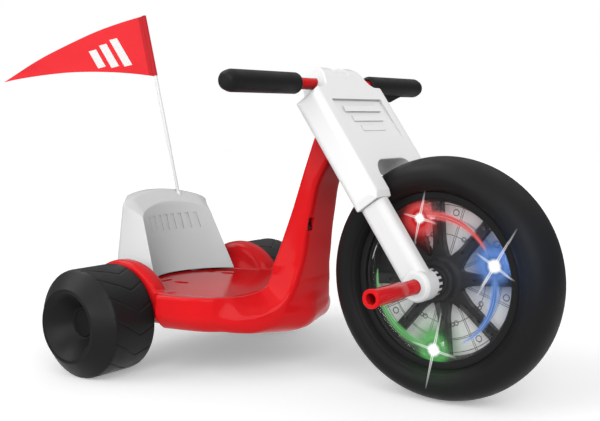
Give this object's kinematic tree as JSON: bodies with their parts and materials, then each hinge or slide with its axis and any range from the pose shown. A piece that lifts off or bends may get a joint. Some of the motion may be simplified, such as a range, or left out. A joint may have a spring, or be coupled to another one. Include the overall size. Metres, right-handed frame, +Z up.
{
  "type": "electric ride-on trike",
  "caption": "Electric ride-on trike: tall lit front wheel in a raked fork, low red deck with a tall neck, wide rear wheels, lift-out seat back and pennant.",
  "frame": {"origin": "on the floor, under the middle of the whole length", "axes": "+X forward, +Y to the rider's left, +Z up"},
  "size_m": [1.201, 0.606, 0.6709],
  "materials": {
    "gloss_red": "gloss",
    "white_plastic": "satin",
    "tyre_black": "matt",
    "grip_rubber": "matt",
    "black_plastic": "satin",
    "dark_grey_plastic": "satin",
    "pale_grey_plastic": "satin",
    "clear_plastic": "clear gloss",
    "steel": "satin",
    "flag_cloth": "matt",
    "glass_fibre": "satin",
    "red_lens": "gloss",
    "blue_lens": "gloss",
    "green_lens": "gloss"
  },
  "bodies": {
    "trike": {"body_shell": "gloss_red", "belly_pan": "black_plastic", "battery_pack": "dark_grey_plastic", "control_box": "black_plastic", "gear_case": "dark_grey_plastic", "gear_case_cover": "dark_grey_plastic", "drive_motor": "steel", "rear_axle": "steel", "charge_socket": "black_plastic", "switch_frame": "black_plastic", "head_bush_lower": "dark_grey_plastic", "head_bush_upper": "dark_grey_plastic", "axle_bush_left": "pale_grey_plastic", "axle_bush_right": "pale_grey_plastic", "wheel_washer_left": "steel", "wheel_washer_right": "steel"},
    "fork": {"fork_crown": "white_plastic", "steering_stem": "steel", "stem_nut": "steel", "handlebar": "gloss_red", "trigger_pin": "steel", "front_axle": "steel", "fork_leg_left": "white_plastic", "fork_leg_right": "white_plastic", "grip_left": "grip_rubber", "grip_right": "grip_rubber", "foot_peg_left": "gloss_red", "foot_peg_right": "gloss_red", "front_spacer_left": "dark_grey_plastic", "front_spacer_right": "dark_grey_plastic"},
    "front_wheel": {"front_tyre": "tyre_black", "light_board": "pale_grey_plastic", "lamp_red": "red_lens", "lamp_blue": "blue_lens", "lamp_green": "green_lens", "light_pack": "dark_grey_plastic", "wheel_half_left": "black_plastic", "wheel_half_right": "black_plastic", "wheel_cover_left": "clear_plastic", "wheel_cover_right": "clear_plastic", "front_bearing_left": "steel", "front_bearing_right": "steel"},
    "rear_wheel_left": {"rear_wheel_left": "black_plastic", "rear_dish_left": "black_plastic", "hub_cap_left": "dark_grey_plastic", "axle_nut_left": "steel", "drive_sleeve": "steel", "drive_gear": "pale_grey_plastic"},
    "rear_wheel_right": {"rear_wheel_right": "black_plastic", "rear_dish_right": "black_plastic", "hub_cap_right": "dark_grey_plastic", "axle_nut_right": "steel"},
    "motor_pinion": {"motor_pinion": "steel"},
    "throttle": {"throttle_trigger": "grip_rubber"},
    "seat": {"seat_back": "white_plastic", "flag_pole": "glass_fibre", "pole_grommet": "white_plastic"},
    "flag": {"flag": "flag_cloth"},
    "power_switch": {"switch_rocker": "gloss_red"}
  },
  "joints": [
    {"name": "steer", "type": "hinge", "parent": "trike", "child": "fork", "pos_m": [0.19305, 0, 0.40887], "axis": [-0.5736, 0, 0.8192], "range_deg": [-40, 40]},
    {"name": "front_wheel_spin", "type": "hinge", "parent": "fork", "child": "front_wheel", "pos_m": [0.40034, 0, 0.2], "axis": [0, 1, 0], "continuous": true},
    {"name": "rear_wheel_left_spin", "type": "hinge", "parent": "trike", "child": "rear_wheel_left", "pos_m": [-0.17666, 0, 0.0975], "axis": [0, 1, 0], "continuous": true},
    {"name": "rear_wheel_right_spin", "type": "hinge", "parent": "trike", "child": "rear_wheel_right", "pos_m": [-0.17666, 0, 0.0975], "axis": [0, 1, 0], "continuous": true},
    {"name": "motor_pinion_spin", "type": "hinge", "parent": "trike", "child": "motor_pinion", "pos_m": [-0.15126, 0.09, 0.0975], "axis": [0, 1, 0], "continuous": true},
    {"name": "throttle_press", "type": "hinge", "parent": "fork", "child": "throttle", "pos_m": [0.1778, 0.222, 0.50483], "axis": [-1, 0, 0], "range_deg": [0, 3.5], "stiffness_Nm_per_rad": 0.06, "springref_deg": -8.59},
    {"name": "seat_lift", "type": "slide", "parent": "trike", "child": "seat", "axis": [0, 0, 1], "range_m": [0, 0.02]},
    {"name": "flag_swing", "type": "hinge", "parent": "seat", "child": "flag", "pos_m": [-0.31429, 0.045, 0.60805], "axis": [-0.2462, 0, 0.9692], "continuous": true},
    {"name": "power_switch_rock", "type": "hinge", "parent": "trike", "child": "power_switch", "pos_m": [0.12461, 0.049, 0.24787], "axis": [0, 0, 1], "range_deg": [-6, 6]}
  ],
  "couplings": [
    {"joint": "motor_pinion_spin", "follows": "rear_wheel_left_spin", "ratio": -2.6471}
  ]
}
